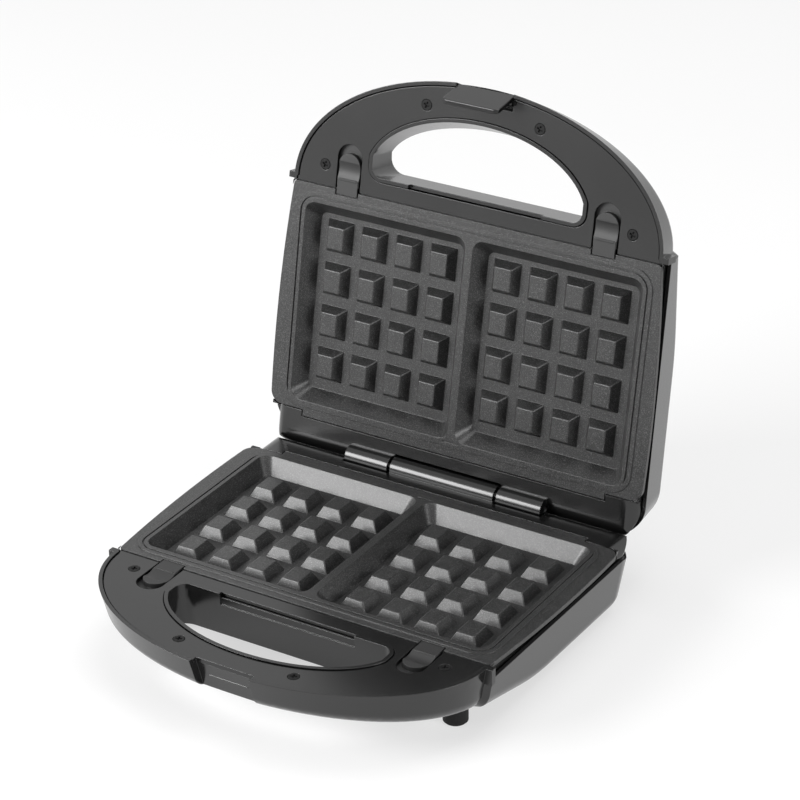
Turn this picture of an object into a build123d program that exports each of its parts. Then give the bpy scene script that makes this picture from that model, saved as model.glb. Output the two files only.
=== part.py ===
from build123d import *
import math
import os

# Two-slice waffle maker, standing open. Everything is modelled about the hinge: the origin
# is the middle of the hinge axis, +X is right, the handle points to -Y, z = 0 is the
# parting plane. The lid is modelled closed, as the mirror of the base, then swung open.

# --- Driving dimensions, mm ---------------------------------------------------------
OPEN_ANGLE = 101.1          # lid angle at its stop
UNDERSIDE = 44.0            # parting plane to the flat underside
HINGE_HEIGHT = 46.0         # hinge axis above the table
WALL = 2.2                  # moulded walls
SEAM = 0.5                  # gap between shell and frame
FIT = 0.3                   # clearance between loosely fitted pieces
SLIP = 0.2                  # clearance of a guided, sliding piece
RUN = 0.05                  # radial clearance of a pin that turns in a bore

# Body outline at the parting plane: half an ellipse in front, flared sides, round corners
SIDE_FRONT = 119.5
SIDE_REAR = 121.9
FRONT_HALF_WIDTH = SIDE_FRONT - 3.3
FRONT_DEPTH = 72.2
ARC_Y = -154.0
SIDE_START = ARC_Y + 2.0
REAR_Y = 11.4
CORNER_R = 26.5
FRONT_DRAFT = 0.33          # how far each wall leans in, per mm of depth
FRONT_SIDE_DRAFT = 0.18
SIDE_DRAFT = 0.18
BOTTOM_R = 12.0             # rounding of the underside
RISE_START = -96.0          # the underside rises from here to the front
RISE_KNEE = (-165.0, -26.0)
RISE_FRONT = (-240.0, -19.0)
RISE_R = 120.0

# Levels below the parting plane
COVER_TOP = -1.6
COVER_THICK = 2.4
FLANGE_TOP = -1.0
FLANGE_THICK = 2.4
PLATFORM_TOP = -0.4
SIDE_STEP = -8.0            # top edge of the shell beside the plates
REAR_STEP = -12.5
FRAME_DEPTH = -15.0
FRAME_FRONT_DEPTH = -7.6
RIM_TOP = -0.9              # lip of the finger opening

# Finger opening
GRIP_Y = -165.0
GRIP_HALF_WIDTH = 68.0
GRIP_DEPTH = 39.5
GRIP_BACK = -163.0
GRIP_CLIP = 66.0
GRIP_CORNER = 6.0
GRIP_DRAFT = 0.09           # the back and the ends widen downwards
GRIP_TAPER = 0.33           # the handle bar gets thicker on its inner side
SLOT_HALF = 42.0            # long slot in the back wall of the opening
SLOT_DEPTH = -8.0
SLOT_INTO = 1.5

# Hinge
BARREL_R = 6.0
PIN_R = 2.0
CENTRE_HALF = 33.5
SIDE_BARREL = (35.5, 63.5)
BARREL_ROOM = 1.2
BEHIND = 0.5                # depth of the frames below the line in which the halves meet
DECK_R = 12.0
DECK_SIDE_R = 10.0          # the deck also rounds down towards the sides

# Plates
PLATE_FRONT = -151.0
PLATE_REAR = -18.2
PLATE_TONGUE = -14.5
TONGUE_HALF = 98.0
PLATE_HALF_FRONT = SIDE_FRONT - 3.8     # the sides bulge between the front and the rear
PLATE_HALF_MIDDLE = SIDE_FRONT + 0.7
PLATE_HALF_REAR = SIDE_REAR - 1.9
PLATE_FRONT_R = 2.0
PLATE_REAR_R = 7.5
PLATFORM = (225.0, -146.7, -20.0, 12.0)     # width, front, rear, corner radius
GROOVE = (220.0, -144.5, -22.3, 9.8)
GROOVE_WIDE = 0.9
GROOVE_DEEP = 0.8
WELL_MOUTH = (2.2, 107.0, -141.1, -23.6, 6.5)
WELL_FLOOR = (7.9, 101.1, -134.0, -30.0, 4.0)
WELL_DEPTH = 9.8
PLATE_WALL = 2.0
PEG_FIRST = (20.24, -45.9)
PEG_PITCH = (22.5, -25.25)
PEG_COUNT = 4
PEG_BASE = (17.2, 19.0)
PEG_TIP = (10.4, 12.8)
PEG_HEIGHT = 6.0

# Plate-release tabs
TAB_X = 81.0
TAB_WIDTH = 13.9
TAB_END = -172.5
TAB_FOOT_END = -180.5       # the foot closes the slot behind the tab
CRADLE_END = -189.5
TAB_SLOT_WIDTH = 16.0
TAB_SLOT_END = -178.0
TAB_TONGUE = -148.6
TAB_NOTCH = (15.0, -148.0)
TAB_FOOT = (19.0, 2.4)      # width and thickness of the foot under the cover

# Latch clip, in closed-lid coordinates
CLIP_HALF = 17.5
CLIP_TOP = 3.5
CLIP_LOW = -15.0
CLIP_SLOPE = 0.31
CLIP_FACE_Y = -223.1
CLIP_THICK = 2.4
CLIP_GAP = 0.6
CLIP_PIN = (-220.2, 2.2)
CLIP_PIN_R = 1.2
CLIP_EYE_R = 2.4
CLIP_HOOK = (12.0, 0.4)     # half width and height of the hook; it snaps under a bead
BEAD_Z = -11.9

# Screws, feet, heating
SCREWS = ((96.7, -163.6), (35.3, -209.1))
SCREW_R = 3.0
FEET = ((91.5, -144.5), (91.5, -24.0))
FOOT_R = 6.8
FOOT_SUNK = 1.0             # each foot sits this deep in the underside
HEATER_R = 3.2
TRAY_FLOOR = -21.0
TRAY_SKIN = 0.8
TRAY_BOX = (206.0, -137.0, -27.0)
POSTS = ((80.0, -108.0), (80.0, -50.0))
POST_R = 4.0
GLAND = (-70.0, -24.5)      # x and z of the cord inlet in the rear wall
GLAND_R = 5.0
LENS_X = (-9.0, 9.0)        # pilot lamps in the lid
LENS_Y = -60.0
LENS_R = 3.0

# --- Helpers ------------------------------------------------------------------------


def span(x0, x1, y0, y1, z0, z1):
    """A box between two corners."""
    middle = ((x0 + x1) / 2, (y0 + y1) / 2, (z0 + z1) / 2)
    return Pos(*middle) * Box(x1 - x0, y1 - y0, z1 - z0)


def rod(x0, x1, y, z, radius):
    """A cylinder along X."""
    return Pos((x0 + x1) / 2, y, z) * Rot(0, 90, 0) * Cylinder(radius, x1 - x0)


def post(x, y, z0, z1, radius):
    """A cylinder along Z."""
    return Pos(x, y, (z0 + z1) / 2) * Cylinder(radius, z1 - z0)


def side_prism(half_width, *points):
    """A shape drawn in the Y-Z plane, as wide as 2 x half_width along X."""
    return extrude(make_face(Plane.YZ * Polyline(*points, close=True)), half_width, both=True)


def pair(shape):
    """A shape and its mirror image on the other side of the middle."""
    return shape + mirror(shape, about=Plane.YZ)


def flip(shape):
    """The lid's version of a shape that is modelled for the base."""
    return mirror(shape, about=Plane.XY)


def plan(z, inset, rear_inset=None):
    """Outline of the body at height z, set in by a wall or a clearance."""
    depth = -z
    back_in = inset if rear_inset is None else rear_inset
    front_w = FRONT_HALF_WIDTH - FRONT_SIDE_DRAFT * depth - inset
    front_d = FRONT_DEPTH - FRONT_DRAFT * depth - inset
    lean = SIDE_DRAFT * depth + inset
    back = REAR_Y - SIDE_DRAFT * depth - back_in
    front_arc = EllipticalCenterArc((0, ARC_Y), front_w, front_d, start_angle=180, arc_size=180)
    sides = FilletPolyline(
        (SIDE_FRONT - lean, SIDE_START),
        (SIDE_REAR - lean, back),
        (lean - SIDE_REAR, back),
        (lean - SIDE_FRONT, SIDE_START),
        radius=CORNER_R - lean,
    )
    right = Line((front_w, ARC_Y), (SIDE_FRONT - lean, SIDE_START))
    left = Line((lean - SIDE_FRONT, SIDE_START), (-front_w, ARC_Y))
    return Pos(0, 0, z) * make_face([front_arc, right, sides, left])


def body_block(inset, top, bottom, rear_inset=None):
    """The drafted outline as a solid between two levels."""
    return loft([plan(top, inset, rear_inset), plan(bottom, inset, rear_inset)], ruled=True)


def tub(inset, top, skin=0.0):
    """The outline down to the underside, which rises towards the handle."""
    start = (60, skin - UNDERSIDE)
    tip = (RISE_FRONT[0], RISE_FRONT[1] + skin)
    line = FilletPolyline(
        start,
        (RISE_START, skin - UNDERSIDE),
        (RISE_KNEE[0], RISE_KNEE[1] + skin),
        tip,
        radius=RISE_R,
    )
    close = Polyline(tip, (tip[0], 30), (60, 30), start)
    profile = extrude(Plane.YZ * make_face([line, close]), 150, both=True)
    return body_block(inset, top, -UNDERSIDE - 3) & profile


def cavity():
    """Inside of a shell: stepped along the bottom, to follow the rounding outside."""
    return tub(WALL, 2, BOTTOM_R) + tub(BOTTOM_R - WALL, 2, WALL)


def inside_outline(point):
    """Rough distance from a point in to the body outline."""
    if point.Y < ARC_Y:
        return FRONT_DEPTH * (1 - math.hypot(point.X / FRONT_HALF_WIDTH, (point.Y - ARC_Y) / FRONT_DEPTH))
    return min(SIDE_REAR - abs(point.X), REAR_Y - point.Y)


def round_underside(shell):
    """Round the edge between the underside and the outer walls."""
    low = [face for face in shell.faces() if face.normal_at().Z < -0.8 and face.center().Z < -15]
    seen = {}
    for face in low:
        for edge in face.edges():
            middle = edge @ 0.5
            key = (round(middle.X, 2), round(middle.Y, 2), round(middle.Z, 2))
            seen.setdefault(key, []).append(edge)
    rim = [same[0] for key, same in seen.items() if len(same) == 1 and inside_outline(Vector(*key)) < 15]
    return fillet(rim, BOTTOM_R)


def grip_face(z, grow):
    """The D-shaped finger opening at one level."""
    deep = 2 * GRIP_DEPTH
    depth = GRIP_DEPTH + grow + (GRIP_DRAFT + GRIP_TAPER) * z
    oval = Pos(0, GRIP_Y, z) * Ellipse(GRIP_HALF_WIDTH + grow, depth)
    flat = RectangleRounded(2 * (GRIP_CLIP + grow), deep, GRIP_CORNER + grow)
    return oval & (Pos(0, GRIP_BACK + grow - deep / 2, z) * flat)


def grip_block(grow, top, bottom):
    """The finger opening as a solid that widens downwards."""
    upper = grip_face(top, grow - GRIP_DRAFT * top)
    lower = grip_face(bottom, grow - GRIP_DRAFT * bottom)
    return loft([upper, lower], ruled=True)


def above_shell_edge(clear):
    """The space over the shell's top edge, which steps down beside the plates."""
    return side_prism(
        150,
        (SIDE_START + clear, 5),
        (SIDE_START + clear, SIDE_STEP + clear),
        (-14, SIDE_STEP - 0.5 + clear),
        (-4, REAR_STEP + clear),
        (40, REAR_STEP + clear),
        (40, 5),
    )


def meeting_line(y):
    """Height of the surface in which the two halves meet behind the hinge axis."""
    return -math.tan(math.radians(OPEN_ANGLE / 2)) * y


def slanted(offset, z):
    """Y of the latch faces at height z."""
    return CLIP_FACE_Y + offset - CLIP_SLOPE * z


# --- Shells -------------------------------------------------------------------------


def body_shell():
    """The outer shell that both halves share, before its underside is rounded."""
    room = cavity() - grip_block(WALL, 3, -UNDERSIDE - 2)
    for x, y in POSTS:
        room = room - pair(post(x, y, -UNDERSIDE, TRAY_FLOOR - TRAY_SKIN, POST_R))
    side_x, side_y = SCREWS[0]
    room = room - pair(post(side_x, side_y, -UNDERSIDE, COVER_TOP - COVER_THICK, SCREW_R + 1))
    shell = tub(0, 0) - (room - pair(strut(0)))
    shell = shell - grip_block(0, 2, -UNDERSIDE - 2)
    shell = shell - above_shell_edge(0)
    # only the lip of the finger opening stands up to the parting plane, not its straight side
    shell = shell - span(-130, 130, -240, SIDE_START + 1, RIM_TOP, 1)
    shell = shell - span(-SLOT_HALF, SLOT_HALF, GRIP_BACK - 1, GRIP_BACK + 5, COVER_TOP - COVER_THICK, 1)
    for x, y in SCREWS:
        shell = shell - pair(post(x, y, COVER_TOP - 13, 0, SCREW_R / 2))
    return shell + lugs(0)


def strut(grow):
    """Short arm from the front wall that takes a front cover screw."""
    x, y = SCREWS[1]
    return span(x - 4 - grow, x + 4 + grow, -230, y + 4 + grow, -10.4 - grow, COVER_TOP - COVER_THICK)


def lugs(grow):
    """Small square lugs where the handle meets the body."""
    inner = FRONT_HALF_WIDTH - 1.8 - grow
    front = SIDE_START - 3.6 - grow
    return pair(span(inner, SIDE_FRONT, front, SIDE_START + grow, SIDE_STEP - 2 - grow, RIM_TOP))


def make_base_shell():
    shell = body_shell()
    # slanted recess for the latch clip, closed behind by a liner
    facet = CLIP_THICK + CLIP_GAP
    back = facet + WALL
    under = COVER_TOP - COVER_THICK - 0.1
    low = -30.0
    liner = side_prism(
        CLIP_HALF + FIT + WALL,
        (-230, under),
        (slanted(back, under), under),
        (slanted(back, low), low),
        (-230, low),
    )
    recess = side_prism(
        CLIP_HALF + FIT,
        (-235, 2),
        (slanted(facet, 2), 2),
        (slanted(facet, low), low),
        (-235, low),
    )
    shell = shell + (liner & tub(0, 0))
    # long slot in the back wall of the finger opening
    slot_back = GRIP_BACK + SLOT_INTO
    shell = shell - span(-SLOT_HALF, SLOT_HALF, GRIP_BACK - 1, slot_back, SLOT_DEPTH, 1)
    for x, y in FEET:
        seat = post(x, y, -UNDERSIDE - 1, SIDE_STEP, FOOT_R + 1.2) & tub(0, 0)
        shell = shell + pair(seat - tub(0, 0, FOOT_SUNK + WALL)) - pair(foot_pad(x, y))
    shell = shell - Pos(GLAND[0], 0, GLAND[1]) * Rot(90, 0, 0) * Cylinder(GLAND_R, 40)
    hook_half, hook_out = CLIP_HOOK
    bead = rod(-hook_half, hook_half, slanted(facet, BEAD_Z), BEAD_Z, hook_out)
    return round_underside(shell) - recess + bead


def make_lid_shell():
    shell = body_shell()
    pin_y, pin_z = CLIP_PIN
    half = CLIP_HALF + 3.5
    liner = span(-half, half, -228, pin_y + 7, -9, COVER_TOP - COVER_THICK - 0.1)
    shell = round_underside(shell) + (liner & tub(WALL / 2, 0)) - flip(latch_pocket())
    for x in LENS_X:
        shell = shell - post(x, LENS_Y, -UNDERSIDE - 1, 5 - UNDERSIDE, LENS_R + 0.1)
    return flip(shell)


def latch_pocket():
    """Room in the front of the lid in which the latch clip swings."""
    pin_y, pin_z = CLIP_PIN
    half = CLIP_HALF + FIT
    return span(-half, half, -235, pin_y + 4.8, -1, pin_z + 4.8)


def latch_bore(grow):
    """Bore of the latch pin."""
    half = CLIP_HALF + 2
    return rod(-half, half, CLIP_PIN[0], CLIP_PIN[1], CLIP_PIN_R + grow)


# --- Frames: handle cover, side band and rear deck in one moulding --------------------


def plate_outline(z, grow):
    """Outline of a cooking plate, with its wider back edge."""
    front = PLATE_FRONT - grow
    rear = PLATE_REAR + grow
    half_front = PLATE_HALF_FRONT + grow
    half_rear = PLATE_HALF_REAR + grow
    middle = (PLATE_HALF_MIDDLE + grow, (front + rear) / 2)
    sides = ThreePointArc((half_front, front), middle, (half_rear, rear))
    edges = [Line((-half_front, front), (half_front, front)), sides, Line((half_rear, rear), (-half_rear, rear))]
    outline = make_face(edges + [mirror(sides, about=Plane.YZ)])
    outline = fillet(outline.vertices().sort_by(Axis.Y)[:2], PLATE_FRONT_R)
    outline = fillet(outline.vertices().sort_by(Axis.Y)[-2:], PLATE_REAR_R)
    tongue_y = (PLATE_TONGUE + grow + rear - 10) / 2
    tongue = Rectangle(2 * (TONGUE_HALF + grow), PLATE_TONGUE + grow - (rear - 10))
    return Pos(0, 0, z) * (outline + Pos(0, tongue_y) * tongue)


def body_frame():
    """The inner moulding that both halves share, before the hinge barrels are added."""
    inset = WALL + SEAM
    flush = body_block(inset, FLANGE_TOP, REAR_STEP + 0.3, 0) + body_block(inset, FLANGE_TOP, FRAME_DEPTH)
    wall_zone = body_block(-1, 0, FRAME_DEPTH - 1) - body_block(WALL + FIT, 0, FRAME_DEPTH - 1)
    frame = flush - (wall_zone - above_shell_edge(0.2))
    frame = frame - span(-130, 130, -230, PLATE_FRONT, COVER_TOP, 1)
    frame = frame - span(-130, 130, -230, SIDE_START, FRAME_DEPTH - 1, FRAME_FRONT_DEPTH) - lugs(FIT)
    ledge = FLANGE_TOP - FLANGE_THICK
    frame = frame - extrude(plate_outline(ledge, 0.6), 5)
    # hollow from below: thin in front, deeper under the ledge that carries the plate
    hollow_front = body_block(inset + WALL, COVER_TOP - COVER_THICK, FRAME_DEPTH - 1)
    hollow_front = hollow_front & span(-130, 130, -230, PLATE_FRONT - 2, FRAME_DEPTH - 1, 0)
    frame = frame - hollow_front - body_block(inset + WALL, ledge - WALL, FRAME_DEPTH - 1)
    window = RectangleRounded(221, 124.9, 8)
    frame = frame - extrude(Pos(0, -81.95, FRAME_DEPTH - 1) * window, 20)
    # the rear rounds down to the surface in which both halves meet
    lean = math.tan(math.radians(OPEN_ANGLE / 2))
    crown = (FLANGE_TOP + BEHIND) / -lean
    end = REAR_Y + 2
    ridge = FilletPolyline((-60, FLANGE_TOP), (crown, FLANGE_TOP), (end, meeting_line(end) - BEHIND), radius=DECK_R)
    lid_of = Polyline((end, meeting_line(end) - BEHIND), (end, 8), (-60, 8), (-60, FLANGE_TOP))
    frame = frame - extrude(Plane.YZ * make_face([ridge, lid_of]), 150, both=True)
    edge = SIDE_REAR - WALL - SEAM - SIDE_DRAFT * DECK_SIDE_R + 0.2
    start = (edge - DECK_SIDE_R, FLANGE_TOP)
    end = (edge, FLANGE_TOP - DECK_SIDE_R)
    bend = TangentArc(start, end, tangent=(1, 0))
    rest = Polyline(end, (edge + 9, FLANGE_TOP - DECK_SIDE_R), (edge + 9, 5), (edge - DECK_SIDE_R, 5), start)
    corner = extrude(Plane.XZ * make_face([bend, rest]), -40)
    frame = frame - pair(Pos(0, PLATE_REAR + 0.6, 0) * corner)
    frame = frame - grip_block(WALL + SEAM, 2, FRAME_DEPTH - 1)
    for side in (-1, 1):
        frame = frame - tab_slot(side * TAB_X) + tab_cradle(side * TAB_X)
    for x, y in SCREWS:
        frame = frame - pair(post(x, y, -20, 1, SCREW_R / 2 + 0.2))
        frame = frame - pair(post(x, y, COVER_TOP - 1.0, 1, SCREW_R + 0.25))
    frame = frame - pair(strut(FIT))
    return frame


def tab_slot(x):
    """Opening for a release tab, round at the handle end."""
    half = TAB_SLOT_WIDTH / 2
    round_end = post(x, TAB_SLOT_END + half, -COVER_THICK - 6, 1, half)
    return round_end + span(x - half, x + half, TAB_SLOT_END + half, PLATE_FRONT + 4, -COVER_THICK - 6, 1)


def tab_cradle(x):
    """Rails and end wall under the cover, in which a release tab slides."""
    under = COVER_TOP - COVER_THICK
    wide, thick = TAB_FOOT
    foot_low = under - SLIP - thick - SLIP
    half = wide / 2 + SLIP
    outer = span(x - half - 1.2, x + half + 1.2, CRADLE_END - 1.4, PLATE_FRONT - 2.4, foot_low - 1.2, under)
    inner = span(x - half, x + half, CRADLE_END, PLATE_FRONT, foot_low, under)
    return outer - inner


def barrel(x0, x1, bore):
    """One hinge knuckle with its foot on the deck."""
    foot = span(x0, x1, -6, 2.5, -11, -3)
    return rod(x0, x1, 0, 0, BARREL_R) + foot - rod(x0 - 1, x1 + 1, 0, 0, bore)


def make_base_frame():
    frame = body_frame()
    room = rod(SIDE_BARREL[0] - 1, SIDE_BARREL[1] + 1, 0, 0, BARREL_R + BARREL_ROOM)
    frame = frame - pair(room) - rod(-CENTRE_HALF, CENTRE_HALF, 0, 0, PIN_R)
    frame = frame + barrel(-CENTRE_HALF, CENTRE_HALF, PIN_R)
    # the front edge gives way to the latch clip
    edge = slanted(CLIP_THICK + CLIP_GAP - 0.1, COVER_TOP - COVER_THICK)
    return frame - span(-CLIP_HALF - FIT, CLIP_HALF + FIT, -235, edge, FRAME_DEPTH - 5, 1) - latch_clearance()


def latch_clearance():
    """Space behind the slanted liner of the latch recess."""
    half = CLIP_HALF + FIT + WALL + SEAM
    return side_prism(half, (-230, -4.1), (-212.5, -4.1), (-208.5, -20), (-230, -20))


def make_lid_frame():
    frame = body_frame()
    frame = frame - rod(-CENTRE_HALF - 1, CENTRE_HALF + 1, 0, 0, BARREL_R + BARREL_ROOM)
    knuckle = barrel(SIDE_BARREL[0], SIDE_BARREL[1], PIN_R + RUN)
    frame = frame + pair(knuckle) - rod(-80, 80, 0, 0, PIN_R + RUN)
    frame = mirror(frame, about=Plane.XY)
    half = CLIP_HALF + 3.5 + SEAM
    under = COVER_THICK - COVER_TOP
    frame = frame - span(-half, half, -235, CLIP_PIN[0] + 7.5, under + 0.1, 20)
    return frame - latch_pocket() - latch_bore(0)


# --- Cooking plates -----------------------------------------------------------------


def rounded(box, z):
    """A rounded rectangle from its edges: x0, x1, y0, y1, radius."""
    x0, x1, y0, y1, radius = box
    return Pos((x0 + x1) / 2, (y0 + y1) / 2, z) * RectangleRounded(x1 - x0, y1 - y0, radius)


def grown(box, amount):
    x0, x1, y0, y1, radius = box
    return (x0 - amount, x1 + amount, y0 - amount, y1 + amount, radius + amount)


def pan(amount, drop):
    """One well of a plate, or its outside when grown."""
    mouth = rounded(grown(WELL_MOUTH, amount), PLATFORM_TOP + 0.2 * (amount == 0))
    floor = rounded(grown(WELL_FLOOR, amount), -WELL_DEPTH - drop)
    return loft([mouth, floor], ruled=True)


def peg():
    """One tapered block of the grid, with softened edges."""
    base = Rectangle(*PEG_BASE)
    tip = Pos(0, 0, PEG_HEIGHT) * Rectangle(*PEG_TIP)
    block = loft([base, tip], ruled=True)
    block = fillet(block.edges().filter_by(lambda edge: edge.center().Z > 0.1), 0.8)
    root = Pos(0, 0, -0.5) * Box(PEG_BASE[0], PEG_BASE[1], 1)
    return block + root


def ring_groove():
    """Thin groove that runs around the raised platform."""
    wide, front, rear, radius = GROOVE
    centre = Pos(0, (front + rear) / 2, PLATFORM_TOP - GROOVE_DEEP)
    outer = RectangleRounded(wide, rear - front, radius)
    inner = RectangleRounded(wide - 2 * GROOVE_WIDE, rear - front - 2 * GROOVE_WIDE, radius - GROOVE_WIDE)
    return extrude(centre * (outer - inner), 2)


def body_plate():
    """Cast plate with two wells and a four by four grid of pegs in each."""
    ledge = FLANGE_TOP - FLANGE_THICK
    wide, front, rear, radius = PLATFORM
    plate = extrude(plate_outline(ledge, 0), FLANGE_THICK)
    platform = Pos(0, (front + rear) / 2, ledge) * RectangleRounded(wide, rear - front, radius)
    plate = plate + extrude(platform, PLATFORM_TOP - ledge)
    plate = plate - ring_groove()
    plate = plate + pair(pan(PLATE_WALL, PLATE_WALL)) - pair(pan(0, 0))
    block = peg()
    pegs = []
    for column in range(PEG_COUNT):
        for row in range(PEG_COUNT):
            x = PEG_FIRST[0] + PEG_PITCH[0] * column
            y = PEG_FIRST[1] + PEG_PITCH[1] * row
            pegs += [Pos(side * x, y, -WELL_DEPTH) * block for side in (-1, 1)]
    plate = plate + pegs
    wide_notch, notch_y = TAB_NOTCH
    for x in (-TAB_X, TAB_X):
        plate = plate - span(x - wide_notch / 2, x + wide_notch / 2, PLATE_FRONT - 2, notch_y, ledge + 1.0, 1)
    return plate


# --- Release tabs and springs ---------------------------------------------------------


def release_tab(x):
    """Slider that holds the front edge of a plate."""
    half = TAB_WIDTH / 2
    under = COVER_TOP - COVER_THICK
    top = COVER_TOP + 0.3
    tongue_low = FLANGE_TOP - FLANGE_THICK + 1.0 + SLIP
    round_end = TAB_END + half
    neck = post(x, round_end, under - SLIP, top, half) + span(x - half, x + half, round_end, -158, under - SLIP, top)
    tongue = span(x - half + 0.3, x + half - 0.3, -158, TAB_TONGUE, tongue_low, FLANGE_TOP)
    bridge = span(x - half, x + half, -158, PLATE_FRONT - 2.8, under - SLIP, top)
    wide, thick = TAB_FOOT
    foot = span(x - wide / 2, x + wide / 2, TAB_FOOT_END, -157, under - SLIP - thick, under - SLIP)
    dish = Pos(x, -163, top + 11) * Rot(0, 90, 0) * Cylinder(12, TAB_WIDTH + 2)
    rib = span(x - half + 1.5, x + half - 1.5, -158.0, -156.8, top - 0.2, top + 0.5)
    return neck + tongue + bridge + foot - dish + rib


def tab_spring(x):
    """Coil spring between the tab's foot and the end wall of its cradle."""
    wire_r = 0.2
    start = CRADLE_END + 0.3
    length = TAB_FOOT_END - 0.3 - start
    z = COVER_TOP - COVER_THICK - SLIP - TAB_FOOT[1] / 2
    path = Helix(pitch=length / 6, height=length, radius=0.9)
    wire = sweep(Plane(origin=path @ 0, z_dir=path % 0) * Circle(wire_r), path=path)
    return Pos(x, start, z) * Rot(-90, 0, 0) * wire


# --- Latch --------------------------------------------------------------------------


def make_latch_clip():
    half = CLIP_HALF
    plate = side_prism(
        half,
        (slanted(0, CLIP_TOP), CLIP_TOP),
        (slanted(CLIP_THICK, CLIP_TOP), CLIP_TOP),
        (slanted(CLIP_THICK, CLIP_LOW), CLIP_LOW),
        (slanted(0, CLIP_LOW), CLIP_LOW),
    )
    corners = plate.edges().filter_by(Axis.X, reverse=True).group_by(Axis.Z)[0]
    plate = fillet(corners, 3.0)
    front = [edge for edge in plate.edges() if edge.center().Y < slanted(0.1, edge.center().Z)]
    plate = fillet(front, 0.6)
    hook_half, hook_out = CLIP_HOOK
    hook = side_prism(
        hook_half,
        (slanted(CLIP_THICK - 0.5, -13), -13),
        (slanted(CLIP_THICK + hook_out, -13.2), -13.2),
        (slanted(CLIP_THICK, CLIP_LOW + 0.3), CLIP_LOW + 0.3),
        (slanted(CLIP_THICK - 0.5, CLIP_LOW + 0.3), CLIP_LOW + 0.3),
    )
    eye = rod(-half, half, CLIP_PIN[0], CLIP_PIN[1], CLIP_EYE_R)
    gap = rod(-half / 2, half / 2, CLIP_PIN[0] + 1.2, CLIP_PIN[1], CLIP_EYE_R)
    gap = gap & span(-half, half, slanted(CLIP_THICK, CLIP_PIN[1]), -200, -10, 10)
    return plate + hook + (eye - gap) - latch_bore(RUN)


def make_latch_pin():
    return latch_bore(0)


# --- Fasteners, feet, hinge pin -------------------------------------------------------


def cover_screw(x, y):
    """Pan-head screw with a cross recess, sunk in the handle cover."""
    top = COVER_TOP + 0.1
    screw = post(x, y, COVER_TOP - 1.0, top, SCREW_R) + post(x, y, COVER_TOP - 12, COVER_TOP - 0.5, SCREW_R / 2)
    slot = Box(3.6, 0.9, 1.6) + Box(0.9, 3.6, 1.6)
    return screw - Pos(x, y, top) * Rot(0, 0, 20) * slot


def make_cover_screws():
    solids = [cover_screw(side * x, y) for x, y in SCREWS for side in (-1, 1)]
    return Compound(solids)


def foot_pad(x, y):
    """A rubber foot that reaches from the table into the underside."""
    return post(x, y, -HINGE_HEIGHT, SIDE_STEP, FOOT_R) - tub(0, 0, FOOT_SUNK)


def make_feet():
    solids = []
    for x, y in FEET:
        for side in (-1, 1):
            solids.append(chamfer(foot_pad(side * x, y).edges().sort_by(Axis.Z)[0], 0.8))
    return Compound(solids)


def make_hinge_pin():
    return rod(-SIDE_BARREL[1] + 0.5, SIDE_BARREL[1] - 0.5, 0, 0, PIN_R)


# --- Heating ------------------------------------------------------------------------


def make_heater():
    """Tubular element that loops under both wells, open at the back for its terminals."""
    z = -WELL_DEPTH - PLATE_WALL - FIT - HEATER_R
    path = FilletPolyline(
        (-14, -38, z), (-90, -38, z), (-90, -124, z), (90, -124, z), (90, -38, z), (14, -38, z), radius=16
    )
    tube = sweep(Plane(origin=path @ 0, z_dir=path % 0) * Circle(HEATER_R), path=path)
    tips = rod(-14, -6, -38, z, 1.2) + rod(6, 14, -38, z, 1.2)
    return tube + tips


def make_reflector():
    """Bright tray that holds the heat under the plate."""
    wide, front, rear = TRAY_BOX
    tall = 7.0
    floor = Pos(0, (front + rear) / 2, TRAY_FLOOR - TRAY_SKIN) * RectangleRounded(wide, rear - front, 8)
    inner = Pos(0, (front + rear) / 2, TRAY_FLOOR) * RectangleRounded(
        wide - 2 * TRAY_SKIN, rear - front - 2 * TRAY_SKIN, 8 - TRAY_SKIN
    )
    return extrude(floor, tall) - extrude(inner, tall)


def make_heater_clips():
    z = -WELL_DEPTH - PLATE_WALL - FIT - HEATER_R
    solids = []
    for x in (-90, 90):
        for y in (-60, -100):
            block = span(x - 5, x + 5, y - 4, y + 4, TRAY_FLOOR, z - 0.5)
            channel = Pos(x, y, z) * Rot(90, 0, 0) * Cylinder(HEATER_R + RUN, 20)
            solids.append(block - channel)
    return Compound(solids)


def make_thermostat():
    low = TRAY_FLOOR - TRAY_SKIN
    body = post(0, -70, low - 6, low, 8.5)
    return body + span(-14, 14, -73, -67, low - 4, low - 3)


def make_thermal_fuse():
    low = TRAY_FLOOR - TRAY_SKIN
    return rod(38, 52, -70, low - 3, 3)


def make_terminal_block():
    floor = WALL - UNDERSIDE
    block = span(-75, -45, -26, -14, floor, floor + 12)
    for x in (-69, -60, -51):
        block = block - post(x, -20, floor + 6, floor + 13, 2)
    return block


def make_cord_gland():
    """Rubber bush in the rear wall, with a free passage."""
    x, z = GLAND
    wall_y = REAR_Y + SIDE_DRAFT * z
    turn = Rot(90, 0, 0)
    collar = Pos(x, wall_y + 2.6, z) * turn * Cylinder(GLAND_R + 2.5, 2.4)
    neck = Pos(x, wall_y - 2.3, z) * turn * Cylinder(GLAND_R - RUN, 10)
    inner = Pos(x, wall_y - 5.6, z) * turn * Cylinder(GLAND_R + 2, 2.4)
    return collar + neck + inner - Pos(x, wall_y, z) * turn * Cylinder(3.2, 30)


def loom(points, radius, wire_r):
    """An insulated wire along straight runs and round bends."""
    path = FilletPolyline(*points, radius=radius)
    return sweep(Plane(origin=path @ 0, z_dir=path % 0) * Circle(wire_r), path=path)


def make_wiring():
    """Wires that lie in the body between the heater, the thermostat and the rear."""
    low = TRAY_FLOOR - TRAY_SKIN - 9
    to_fuse = loom([(45, -74, low), (45, -90, low), (-30, -90, low), (-30, -32, low)], 6, 1.1)
    to_stat = loom([(0, -80, low), (-20, -80, low), (-20, -32, low)], 6, 1.1)
    return Compound([to_fuse, to_stat])


# --- Lid indicators -------------------------------------------------------------------

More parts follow.
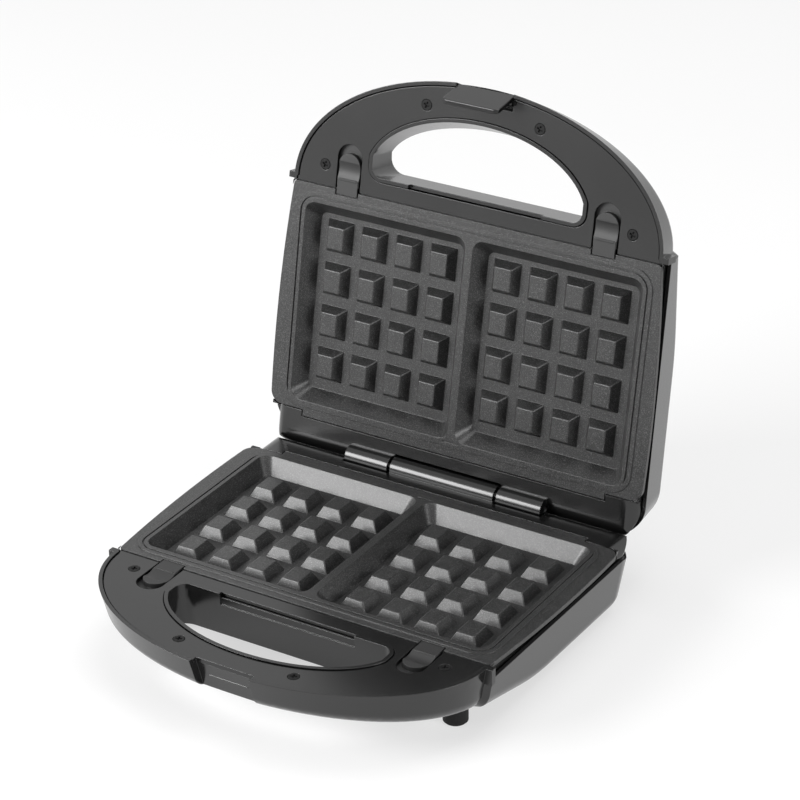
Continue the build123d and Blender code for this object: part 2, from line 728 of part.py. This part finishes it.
def make_lens(x):
    body = post(x, LENS_Y, UNDERSIDE - WALL - 3, UNDERSIDE + 0.6, LENS_R)
    collar = post(x, LENS_Y, UNDERSIDE - WALL - 3, UNDERSIDE - WALL, LENS_R + 1)
    return fillet((body + collar).edges().sort_by(Axis.Z)[-1], 0.5)


def make_lamp_holder():
    board = span(-18, 18, LENS_Y - 7, LENS_Y + 7, UNDERSIDE - WALL - 11, UNDERSIDE - WALL - 9.6)
    for x in LENS_X:
        board = board + post(x, LENS_Y, UNDERSIDE - WALL - 9.6, UNDERSIDE - WALL - 3, 2.4)
    for x in (-15, 15):
        board = board + post(x, LENS_Y, UNDERSIDE - WALL - 9.6, UNDERSIDE - WALL, 1.8)
    return board


# --- Assembly -----------------------------------------------------------------------

base_nodes = {
    "base_shell": make_base_shell(),
    "base_frame": make_base_frame(),
    "base_plate": body_plate(),
    "base_tab_left": release_tab(-TAB_X),
    "base_tab_right": release_tab(TAB_X),
    "base_spring_left": tab_spring(-TAB_X),
    "base_spring_right": tab_spring(TAB_X),
    "base_cover_screws": make_cover_screws(),
    "base_feet": make_feet(),
    "hinge_pin": make_hinge_pin(),
    "base_heater": make_heater(),
    "base_heater_clips": make_heater_clips(),
    "base_reflector": make_reflector(),
    "base_thermostat": make_thermostat(),
    "thermal_fuse": make_thermal_fuse(),
    "terminal_block": make_terminal_block(),
    "cord_gland": make_cord_gland(),
    "base_wiring": make_wiring(),
}
lid_nodes = {
    "lid_shell": make_lid_shell(),
    "lid_frame": make_lid_frame(),
    "lid_plate": flip(base_nodes["base_plate"]),
    "lid_tab_left": flip(base_nodes["base_tab_left"]),
    "lid_tab_right": flip(base_nodes["base_tab_right"]),
    "lid_spring_left": flip(base_nodes["base_spring_left"]),
    "lid_spring_right": flip(base_nodes["base_spring_right"]),
    "lid_cover_screws": flip(base_nodes["base_cover_screws"]),
    "lid_heater": flip(base_nodes["base_heater"]),
    "lid_heater_clips": flip(base_nodes["base_heater_clips"]),
    "lid_reflector": flip(base_nodes["base_reflector"]),
    "lid_thermostat": flip(base_nodes["base_thermostat"]),
    "lid_wiring": flip(base_nodes["base_wiring"]),
    "latch_clip": make_latch_clip(),
    "latch_pin": make_latch_pin(),
    "power_lens": make_lens(LENS_X[0]),
    "ready_lens": make_lens(LENS_X[1]),
    "lamp_holder": make_lamp_holder(),
}

swing = Rot(-OPEN_ANGLE, 0, 0)
front_y = base_nodes["base_shell"].bounding_box().min.Y
back_y = (swing * lid_nodes["lid_shell"]).bounding_box().max.Y
place = Pos(0, -(front_y + back_y) / 2, HINGE_HEIGHT)
for name, shape in base_nodes.items():
    export_step(place * shape, f"parts/{name}.step")
for name, shape in lid_nodes.items():
    export_step(place * swing * shape, f"parts/{name}.step")
print("hinge axis y", round(-(front_y + back_y) / 2, 3), "z", HINGE_HEIGHT)
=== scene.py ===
# %% [markdown]
# # Two-slice waffle maker, standing open
# The engineering model gives every part its true shape and place. This notebook dresses it:
# it loads the parts, sets up one camera and a plain studio, makes the finishes from nodes,
# softens the moulded edges, and copies the return springs onto their halves.

# %% Load the frame
import math

import bmesh
import bpy
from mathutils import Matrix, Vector


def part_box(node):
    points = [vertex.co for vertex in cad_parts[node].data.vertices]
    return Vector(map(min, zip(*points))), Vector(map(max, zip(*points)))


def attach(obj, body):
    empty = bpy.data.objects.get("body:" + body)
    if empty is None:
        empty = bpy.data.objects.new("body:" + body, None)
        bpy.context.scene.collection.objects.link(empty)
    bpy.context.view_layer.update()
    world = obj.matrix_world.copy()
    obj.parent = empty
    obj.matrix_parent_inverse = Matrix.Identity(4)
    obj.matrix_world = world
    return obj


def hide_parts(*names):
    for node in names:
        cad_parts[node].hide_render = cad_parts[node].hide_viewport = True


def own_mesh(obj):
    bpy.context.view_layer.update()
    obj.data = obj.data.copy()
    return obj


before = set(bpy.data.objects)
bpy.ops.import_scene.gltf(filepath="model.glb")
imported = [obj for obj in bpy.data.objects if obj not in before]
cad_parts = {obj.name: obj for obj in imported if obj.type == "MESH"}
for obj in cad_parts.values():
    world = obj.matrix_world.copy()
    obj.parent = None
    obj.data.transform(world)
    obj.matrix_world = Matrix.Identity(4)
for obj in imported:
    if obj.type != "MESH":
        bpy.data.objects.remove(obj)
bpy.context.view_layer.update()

# %% [markdown]
# ## Camera
# A product picture is taken from far away with a long lens, so that parallel edges stay
# nearly parallel. The camera turns about the middle of the hinge pin, which the frame knows:
# azimuth and elevation say from where it looks, and two small shifts centre the object.

# %% Camera
MM = 0.001
pin_low, pin_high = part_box("hinge_pin")
hinge = (Vector(pin_low) + Vector(pin_high)) / 2
AZIMUTH = math.radians(31.87)
ELEVATION = math.radians(27.57)
ROLL = math.radians(-0.85)
DISTANCE = 1668.7 * MM
AIM_RIGHT = -25.6 * MM
AIM_UP = 45.6 * MM
LENS = 133.8
FAR_LIMIT = 50

back = Vector((
    math.sin(AZIMUTH) * math.cos(ELEVATION),
    -math.cos(AZIMUTH) * math.cos(ELEVATION),
    math.sin(ELEVATION),
))
level_right = Vector((math.cos(AZIMUTH), math.sin(AZIMUTH), 0))
level_up = back.cross(level_right)
right = level_right * math.cos(ROLL) + level_up * math.sin(ROLL)
up = level_up * math.cos(ROLL) - level_right * math.sin(ROLL)

camera = bpy.data.objects.new("camera", bpy.data.cameras.new("camera"))
bpy.context.collection.objects.link(camera)
camera.data.lens = LENS
camera.data.clip_end = FAR_LIMIT
camera.location = hinge + right * AIM_RIGHT + up * AIM_UP + back * DISTANCE
turn = camera.rotation_euler.to_matrix()
turn.col[0], turn.col[1], turn.col[2] = right, up, back
camera.rotation_euler = turn.to_euler()
bpy.context.scene.camera = camera
bpy.context.scene.view_settings.view_transform = "Standard"
print("camera at", [round(v, 3) for v in camera.location])

# %% [markdown]
# ## Studio
# A pale floor catches the soft shadow. One large softbox stands at the front left, one
# hangs above and a narrow one fills the right flank. The world gives an even base level,
# and it looks white where it is seen directly, in a reflection or through a clear part.

# %% Floor, lamps and world
FLOOR_HALF = 12
bm = bmesh.new()
bmesh.ops.create_grid(bm, x_segments=1, y_segments=1, size=FLOOR_HALF)
floor_mesh = bpy.data.meshes.new("floor")
bm.to_mesh(floor_mesh)
bm.free()
floor = bpy.data.objects.new("floor", floor_mesh)
bpy.context.collection.objects.link(floor)


def lamp(name, place, aim, size, power):
    """A soft rectangular lamp that looks at a point."""
    light = bpy.data.lights.new(name, "AREA")
    light.shape = "RECTANGLE"
    light.size, light.size_y = size
    light.energy = power
    body = bpy.data.objects.new(name, light)
    bpy.context.collection.objects.link(body)
    body.location = place
    body.rotation_euler = (Vector(aim) - Vector(place)).to_track_quat("-Z", "Y").to_euler()


centre = (0, 0, 0.1)
lamp("softbox_left", (-1.25, -1.45, 0.95), centre, (1.2, 1.1), 56)
lamp("softbox_top", (0.3, 0.5, 2.4), centre, (1.6, 1.6), 26)
lamp("softbox_right", (2.2, -0.2, 0.9), centre, (0.7, 1.2), 22)


def looked_at(tree):
    """One for rays that look at a surface straight, by reflection or through glass, else zero."""
    path = tree.nodes.new("ShaderNodeLightPath")
    bent = tree.nodes.new("ShaderNodeMath")
    bent.operation = "MAXIMUM"
    tree.links.new(path.outputs["Is Glossy Ray"], bent.inputs[0])
    tree.links.new(path.outputs["Is Transmission Ray"], bent.inputs[1])
    either = tree.nodes.new("ShaderNodeMath")
    either.operation = "MAXIMUM"
    tree.links.new(path.outputs["Is Camera Ray"], either.inputs[0])
    tree.links.new(bent.outputs[0], either.inputs[1])
    return either.outputs[0]


FILL_LIGHT = 0.25
WHITE = (1, 1, 1, 1)
world = bpy.data.worlds.new("studio")
world.use_nodes = True
bpy.context.scene.world = world
tree = world.node_tree
fill = tree.nodes["Background"]
fill.inputs["Color"].default_value = WHITE
fill.inputs["Strength"].default_value = FILL_LIGHT
backdrop = tree.nodes.new("ShaderNodeBackground")
backdrop.inputs["Color"].default_value = WHITE
backdrop.inputs["Strength"].default_value = 1.0
mix = tree.nodes.new("ShaderNodeMixShader")
tree.links.new(looked_at(tree), mix.inputs[0])
tree.links.new(fill.outputs[0], mix.inputs[1])
tree.links.new(backdrop.outputs[0], mix.inputs[2])
tree.links.new(mix.outputs[0], tree.nodes["World Output"].inputs["Surface"])
print("studio ready with", len(bpy.data.lights), "lamps")

# %% [markdown]
# ## Materials
# Every finish is a Principled shader. Colour varies a little with soft noise, and a fine
# grain goes into the bump, so that no surface is one flat colour. The patterns read Object
# coordinates, which are metres here, so a scale of 1000 gives spots about a millimetre wide.

# %% A maker for the finishes
GRAIN_DEPTH = 0.04 * MM
EDGE_ROUNDING = 0.5 * MM
ROUGH_SPREAD = 0.02


def colour(hexa):
    """Linear colour from a web colour."""
    parts = [int(hexa[i:i + 2], 16) / 255 for i in (1, 3, 5)]
    return [p / 12.92 if p <= 0.04045 else ((p + 0.055) / 1.055) ** 2.4 for p in parts] + [1]


def noise(tree, scale, detail=3.0):
    """A noise texture on Object coordinates."""
    where = tree.nodes.new("ShaderNodeTexCoord")
    texture = tree.nodes.new("ShaderNodeTexNoise")
    texture.inputs["Scale"].default_value = scale
    texture.inputs["Detail"].default_value = detail
    tree.links.new(where.outputs["Object"], texture.inputs["Vector"])
    return texture.outputs["Fac"]


def between(tree, factor, low, high, dark, light):
    """Two colours spread over a stretch of a texture's values."""
    ramp = tree.nodes.new("ShaderNodeValToRGB")
    ramp.color_ramp.elements[0].position = low
    ramp.color_ramp.elements[1].position = high
    ramp.color_ramp.elements[0].color = dark
    ramp.color_ramp.elements[1].color = light
    tree.links.new(factor, ramp.inputs["Fac"])
    return ramp.outputs["Color"]


def raised(tree, factor, strength, depth):
    """A bump of a given depth, over edges that look slightly rounded."""
    bump = tree.nodes.new("ShaderNodeBump")
    rounding = tree.nodes.new("ShaderNodeBevel")
    rounding.samples = 4
    rounding.inputs["Radius"].default_value = EDGE_ROUNDING
    tree.links.new(rounding.outputs["Normal"], bump.inputs["Normal"])
    bump.inputs["Strength"].default_value = strength
    bump.inputs["Distance"].default_value = depth
    tree.links.new(factor, bump.inputs["Height"])
    return bump.outputs["Normal"]


def finish(name, dark, light, rough, grain=900, bump=0.25, metal=0.0, gloss=0.5):
    """A moulded, painted or metal surface with fine grain and small colour changes."""
    material = bpy.data.materials.new(name)
    material.use_nodes = True
    tree = material.node_tree
    shader = tree.nodes["Principled BSDF"]
    fine = noise(tree, grain)
    patchy = noise(tree, 24, 4)
    tint = between(tree, patchy, 0.3, 0.7, colour(dark), colour(light))
    tree.links.new(tint, shader.inputs["Base Color"])
    wear = tree.nodes.new("ShaderNodeMapRange")
    wear.inputs["To Min"].default_value = rough - ROUGH_SPREAD
    wear.inputs["To Max"].default_value = rough + ROUGH_SPREAD
    tree.links.new(patchy, wear.inputs["Value"])
    tree.links.new(wear.outputs["Result"], shader.inputs["Roughness"])
    shader.inputs["Metallic"].default_value = metal
    shader.inputs["Specular IOR Level"].default_value = gloss
    tree.links.new(raised(tree, fine, bump, GRAIN_DEPTH), shader.inputs["Normal"])
    return material


cover_black = finish("cover_black", "#0c0c0c", "#111111", 0.2, bump=0.1, gloss=0.62)
shell_black = finish("shell_black", "#0e0e0e", "#131313", 0.2, grain=1200, bump=0.08, gloss=0.6)
tab_black = finish("tab_black", "#161616", "#1c1c1c", 0.5)
latch_black = finish("latch_black", "#080808", "#0c0c0c", 0.18, grain=1200, bump=0.06)
screw_black = finish("screw_black", "#050505", "#0b0b0b", 0.5, bump=0.1, gloss=0.2)
rubber = finish("rubber", "#161616", "#1d1d1d", 0.75, grain=700, bump=0.5, gloss=0.3)
spring_steel = finish("spring_steel", "#8c8c8c", "#a0a0a0", 0.28, metal=1.0)
bright_tray = finish("bright_tray", "#b4b4b4", "#c8c8c8", 0.3, metal=1.0)
element_sheath = finish("element_sheath", "#5a544c", "#766c60", 0.5, metal=0.9)
phenolic = finish("phenolic", "#5c3a22", "#6b4529", 0.5)
ceramic = finish("ceramic", "#d8d4c8", "#e4e0d6", 0.4)
board_green = finish("board_green", "#2c6a3c", "#357a47", 0.45)
glass_sleeve = finish("glass_sleeve", "#cfc9bb", "#e0dbcf", 0.8, grain=1500, bump=0.6)
lens_red = finish("lens_red", "#8c0d08", "#a8140c", 0.12)
lens_green = finish("lens_green", "#0d6b1c", "#138226", 0.12)

# %% [markdown]
# The plates carry a sprayed non-stick coating. It is satin, dark grey and full of tiny
# paler specks, so it gets three noises: one for slow changes of its grey, one for the specks
# and one for its slight pebbling.

# %% Non-stick coating
SPECK_SCALE = 2150
PEBBLE_SCALE = 1400
PEBBLE_DEPTH = 0.06 * MM
coating = bpy.data.materials.new("plate_coating")
coating.use_nodes = True
tree = coating.node_tree
shader = tree.nodes["Principled BSDF"]
specks = noise(tree, SPECK_SCALE, 2)
base_tone = between(tree, noise(tree, 60, 4), 0.35, 0.65, colour("#1c1c1c"), colour("#242424"))
speck_tone = between(tree, specks, 0.53, 0.66, (0, 0, 0, 1), (1, 1, 1, 1))
blend = tree.nodes.new("ShaderNodeMix")
blend.data_type = "RGBA"
tree.links.new(speck_tone, blend.inputs["Factor"])
tree.links.new(base_tone, blend.inputs["A"])
blend.inputs["B"].default_value = colour("#565656")
tree.links.new(blend.outputs["Result"], shader.inputs["Base Color"])
shader.inputs["Roughness"].default_value = 0.33
tree.links.new(raised(tree, noise(tree, PEBBLE_SCALE, 3), 0.35, PEBBLE_DEPTH), shader.inputs["Normal"])

# %% Floor finish
GLOW_SHARE = 0.6
PAPER_LOW = (0.93, 0.93, 0.93, 1)
PAPER_HIGH = (0.95, 0.95, 0.95, 1)
paper = bpy.data.materials.new("paper_floor")
paper.use_nodes = True
tree = paper.node_tree
shader = tree.nodes["Principled BSDF"]
shader.inputs["Roughness"].default_value = 0.9
shader.inputs["Specular IOR Level"].default_value = 0.1
tone = between(tree, noise(tree, 3, 2), 0.3, 0.7, PAPER_LOW, PAPER_HIGH)
tree.links.new(tone, shader.inputs["Base Color"])
glow = tree.nodes.new("ShaderNodeEmission")
glow.inputs["Color"].default_value = WHITE
glow.inputs["Strength"].default_value = 1.0
share = tree.nodes.new("ShaderNodeMath")
share.operation = "MULTIPLY"
share.inputs[1].default_value = GLOW_SHARE
tree.links.new(looked_at(tree), share.inputs[0])
veil = tree.nodes.new("ShaderNodeMixShader")
tree.links.new(share.outputs[0], veil.inputs[0])
tree.links.new(shader.outputs[0], veil.inputs[1])
tree.links.new(glow.outputs[0], veil.inputs[2])
tree.links.new(veil.outputs[0], tree.nodes["Material Output"].inputs["Surface"])
floor.data.materials.append(paper)
print("materials:", len(bpy.data.materials))

# %% [markdown]
# ## Softened mouldings
# Moulded plastic and coated castings never have knife edges: a radius of a few tenths of a
# millimetre catches the light along every rim. The CAD solids are exact but sharp, so each
# visible one is copied, its triangles are merged back into faces, and its hard edges are
# bevelled. The copy then stands for the CAD node and moves with the same body.

# %% Softening helper
MERGE = 0.004 * MM
FLAT_ANGLE = math.radians(0.4)
HARD_ANGLE = math.radians(28)
CREASE_ANGLE = math.radians(35)


def soften(node, material, radius, body):
    """A copy of a CAD node with small rounded edges, in its finish."""
    piece = bpy.data.objects.new(node + "_soft", bpy.data.meshes.new(node + "_soft"))
    bpy.context.collection.objects.link(piece)
    bm = bmesh.new()
    bm.from_mesh(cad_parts[node].data)
    bmesh.ops.remove_doubles(bm, verts=bm.verts, dist=MERGE)
    bmesh.ops.dissolve_degenerate(bm, dist=MERGE, edges=bm.edges)
    bmesh.ops.dissolve_limit(
        bm, angle_limit=FLAT_ANGLE, verts=bm.verts, edges=bm.edges, delimit={"NORMAL"}
    )
    sharp = [e for e in bm.edges if len(e.link_faces) == 2 and e.calc_face_angle() > HARD_ANGLE]
    if radius:
        bmesh.ops.bevel(
            bm, geom=sharp, offset=radius * MM, offset_type="OFFSET", segments=2,
            profile=0.5, affect="EDGES", clamp_overlap=True, material=-1, loop_slide=True,
        )
    bm.to_mesh(piece.data)
    bm.free()
    piece.data.materials.append(material)
    piece.data.shade_smooth()
    keep_flat = piece.modifiers.new("even_normals", "WEIGHTED_NORMAL")
    keep_flat.keep_sharp = True
    piece.data.set_sharp_from_angle(angle=CREASE_ANGLE)
    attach(piece, body)
    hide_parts(node)
    print(node, len(sharp), "edges softened,", len(piece.data.polygons), "faces")
    return piece


# %% Shells, frames and plates
for half in ("base", "lid"):
    soften(half + "_shell", shell_black, 0.35, half)
    soften(half + "_frame", cover_black, 0.3, half)
    soften(half + "_plate", coating, 0.45, half)
    for side in ("left", "right"):
        soften(f"{half}_tab_{side}", tab_black, 0.25, f"{half}_{side}_slider")
soften("latch_clip", latch_black, 0.2, "latch")

# %% [markdown]
# ## Return springs
# Behind each release tab sits a small coil spring that is squeezed as the tab slides back.
# Each coil is copied into a mesh of its own, which is attached to its half
# of the waffle maker.

# %% Springs copied onto their halves
for half in ("base", "lid"):
    for side in ("left", "right"):
        node = f"{half}_spring_{side}"
        spring = soften(node, screw_black, 0, half)
        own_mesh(spring)

# %% [markdown]
# ## Small and hidden parts
# The screws, feet, pins, lenses, cord bush and the other parts inside the shells keep the
# exact shape of the model. They only take a finish, which is picked by a word in their name.

# %% Finishes on the parts that keep their shape
plain = {
    "cover_screws": screw_black,
    "feet": rubber,
    "gland": rubber,
    "spring": screw_black,
    "hinge_pin": spring_steel,
    "latch_pin": screw_black,
    "heater_clips": spring_steel,
    "heater": element_sheath,
    "reflector": bright_tray,
    "thermostat": phenolic,
    "thermal_fuse": phenolic,
    "terminal": ceramic,
    "wiring": glass_sleeve,
    "power_lens": lens_red,
    "ready_lens": lens_green,
    "lamp_holder": board_green,
}
for name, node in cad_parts.items():
    for key, material in plain.items():
        if key in name:
            for slot in node.material_slots:
                slot.material = material
            break
print("finishes given by", len(plain), "words")
